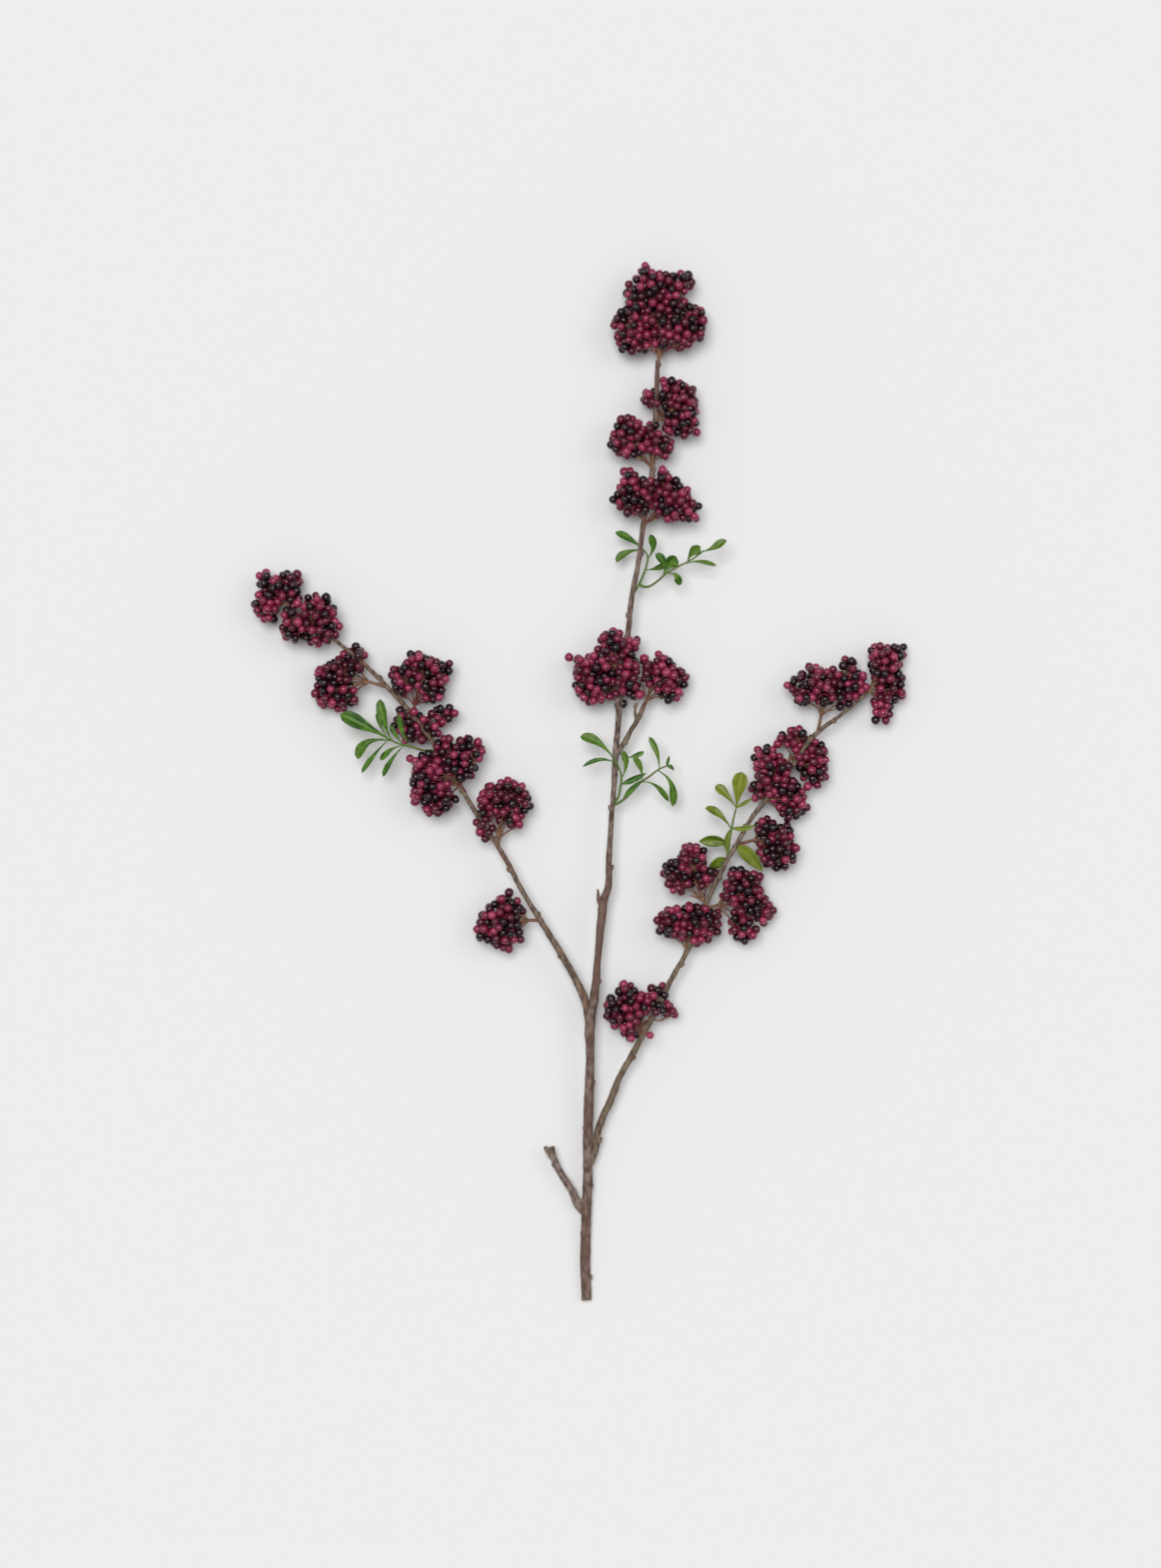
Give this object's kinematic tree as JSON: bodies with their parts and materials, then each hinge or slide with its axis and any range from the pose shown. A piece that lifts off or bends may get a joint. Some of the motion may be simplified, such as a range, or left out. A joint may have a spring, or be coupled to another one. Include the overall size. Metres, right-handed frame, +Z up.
{
  "type": "winterberry sprig",
  "caption": "A cut woody sprig lying down, with two side branches, leafy green shoots and stalked clusters of small glossy dark red berries along its length",
  "frame": {"origin": "middle of the box the sprig fills, at the floor it lies on", "axes": "+Y runs from the cut end towards the tip, +X is to the right seen from above with the tip away from the viewer, +Z is up"},
  "size_m": [0.5284, 0.8344, 0.0379],
  "materials": {
    "stem_wood": "rough grey-brown bark",
    "branch_wood": "thin reddish-brown bark",
    "cluster_stalk": "dull tan and reddish stalks",
    "berry_skin": "smooth glossy skin, burgundy to nearly black",
    "leaf": "satin mid-green leaves"
  },
  "bodies": {
    "root": {"main_stem": "stem_wood", "left_branch": "branch_wood", "right_branch": "branch_wood", "cut_side_shoot": "branch_wood", "upper_twig": "branch_wood", "crown_cluster_stalks": "cluster_stalk", "stem_cluster_1_stalks": "cluster_stalk", "stem_cluster_2_stalks": "cluster_stalk", "stem_cluster_3_stalks": "cluster_stalk", "stem_cluster_4_stalks": "cluster_stalk", "twig_cluster_stalks": "cluster_stalk", "left_cluster_1_stalks": "cluster_stalk", "left_cluster_2_stalks": "cluster_stalk", "left_cluster_3_stalks": "cluster_stalk", "left_cluster_4_stalks": "cluster_stalk", "left_cluster_5_stalks": "cluster_stalk", "left_cluster_6_stalks": "cluster_stalk", "left_cluster_7_stalks": "cluster_stalk", "left_cluster_8_stalks": "cluster_stalk", "right_cluster_1_stalks": "cluster_stalk", "right_cluster_2_stalks": "cluster_stalk", "right_cluster_3_stalks": "cluster_stalk", "right_cluster_4_stalks": "cluster_stalk", "right_cluster_5_stalks": "cluster_stalk", "right_cluster_6_stalks": "cluster_stalk", "right_cluster_7_stalks": "cluster_stalk", "right_cluster_8_stalks": "cluster_stalk", "right_cluster_9_stalks": "cluster_stalk", "crown_cluster_berries": "berry_skin", "stem_cluster_1_berries": "berry_skin", "stem_cluster_2_berries": "berry_skin", "stem_cluster_3_berries": "berry_skin", "stem_cluster_4_berries": "berry_skin", "twig_cluster_berries": "berry_skin", "left_cluster_1_berries": "berry_skin", "left_cluster_2_berries": "berry_skin", "left_cluster_3_berries": "berry_skin", "left_cluster_4_berries": "berry_skin", "left_cluster_5_berries": "berry_skin", "left_cluster_6_berries": "berry_skin", "left_cluster_7_berries": "berry_skin", "left_cluster_8_berries": "berry_skin", "right_cluster_1_berries": "berry_skin", "right_cluster_2_berries": "berry_skin", "right_cluster_3_berries": "berry_skin", "right_cluster_4_berries": "berry_skin", "right_cluster_5_berries": "berry_skin", "right_cluster_6_berries": "berry_skin", "right_cluster_7_berries": "berry_skin", "right_cluster_8_berries": "berry_skin", "right_cluster_9_berries": "berry_skin", "top_leaf_shoot": "leaf", "middle_leaf_shoot": "leaf", "left_leaf_shoot": "leaf", "right_leaf_shoot": "leaf", "right_branch_leaf_low": "leaf", "right_branch_leaf_high": "leaf"}
  },
  "joints": []
}
